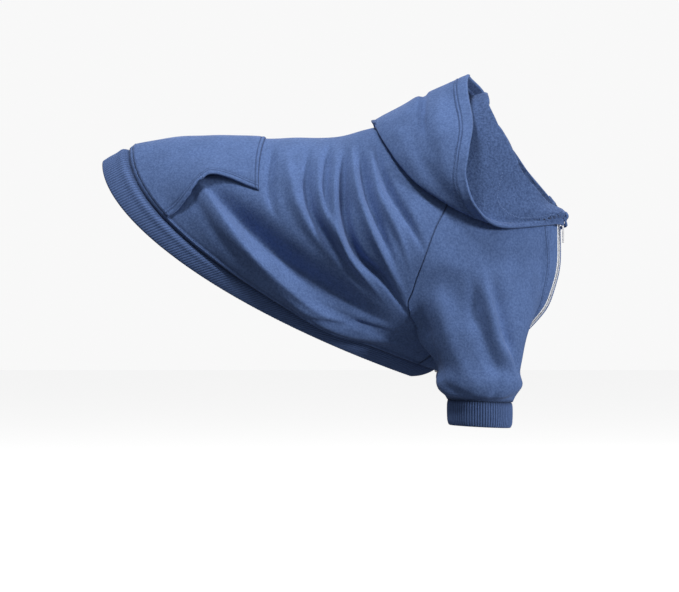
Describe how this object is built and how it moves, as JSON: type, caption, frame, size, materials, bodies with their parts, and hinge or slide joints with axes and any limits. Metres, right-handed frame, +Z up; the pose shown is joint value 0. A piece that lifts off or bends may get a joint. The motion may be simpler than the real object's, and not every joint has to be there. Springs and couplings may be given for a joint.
{
  "type": "dog hoodie",
  "caption": "Blue fleece dog hoodie in its worn shape, with raglan sleeves, ribbed cuffs and hem, a hood lying back, a back pocket and a chest zip.",
  "frame": {"origin": "inner face of the back at the withers, where the garment rests on the animal", "axes": "+X towards the chest and hood, +Y towards the garment's left side, +Z up"},
  "size_m": [0.7892, 0.3116, 0.5958],
  "materials": {
    "fleece": "smooth-faced sweatshirt fleece, mid blue",
    "rib_knit": "ribbed knit, mid blue",
    "zip_tape": "woven tape, white",
    "zip_teeth": "moulded teeth, white",
    "zip_enamel": "white enamel, gloss"
  },
  "bodies": {
    "garment": {"body": "fleece", "sleeve_right": "fleece", "sleeve_left": "fleece", "chest_panel_right": "fleece", "chest_panel_left": "fleece", "hood": "fleece", "back_pocket": "fleece", "hem_rib": "rib_knit", "cuff_right": "rib_knit", "cuff_left": "rib_knit", "zip_tape_right": "zip_tape", "zip_tape_left": "zip_tape", "zip_chain": "zip_teeth", "zip_slider": "zip_enamel"},
    "zip_tab": {"zip_pull": "zip_enamel"}
  },
  "joints": [
    {"name": "pull_swing", "type": "hinge", "parent": "garment", "child": "zip_tab", "pos_m": [0.30105, -0.02182, -0.16435], "axis": [-0.3098, -0.9508, 0], "range_deg": [0, 150]}
  ]
}
